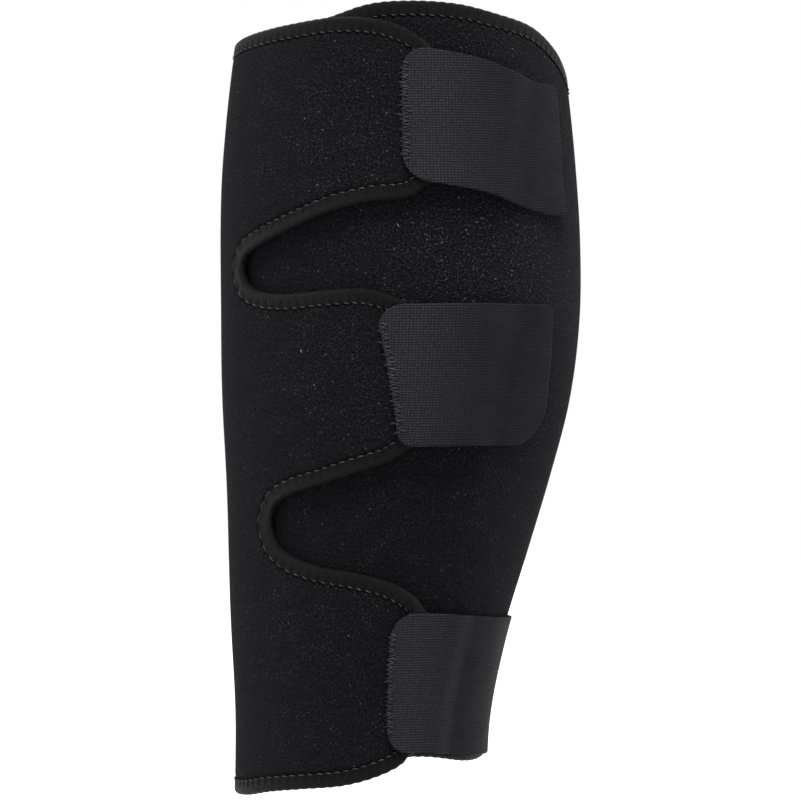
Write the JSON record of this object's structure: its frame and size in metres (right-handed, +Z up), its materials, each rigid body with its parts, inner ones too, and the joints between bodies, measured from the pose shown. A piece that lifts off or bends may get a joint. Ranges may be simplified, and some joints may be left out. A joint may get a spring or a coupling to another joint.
{
  "type": "wrap-around calf compression sleeve",
  "caption": "Neoprene calf wrap closed round a leg, open at both ends, with bound edges, notches between tabs, and hook-tape straps that hold the tabs to the turn below.",
  "frame": {"origin": "on the leg's axis, halfway up the sleeve, inside the hollow that the leg goes through", "axes": "+Z up the leg, -X towards the shin, +X towards the calf muscle, -Y towards the side where the tabs close"},
  "size_m": [0.1405, 0.1265, 0.3035],
  "materials": {
    "neoprene": "brushed loop fabric on neoprene, matt, with a faint sheen",
    "binding_tape": "folded woven tape, matt",
    "hook_tape": "woven back of hook tape, matt grey"
  },
  "bodies": {
    "root": {"panel": "neoprene", "binding": "binding_tape", "strap_top": "hook_tape", "strap_middle": "hook_tape", "strap_bottom": "hook_tape"}
  },
  "joints": []
}
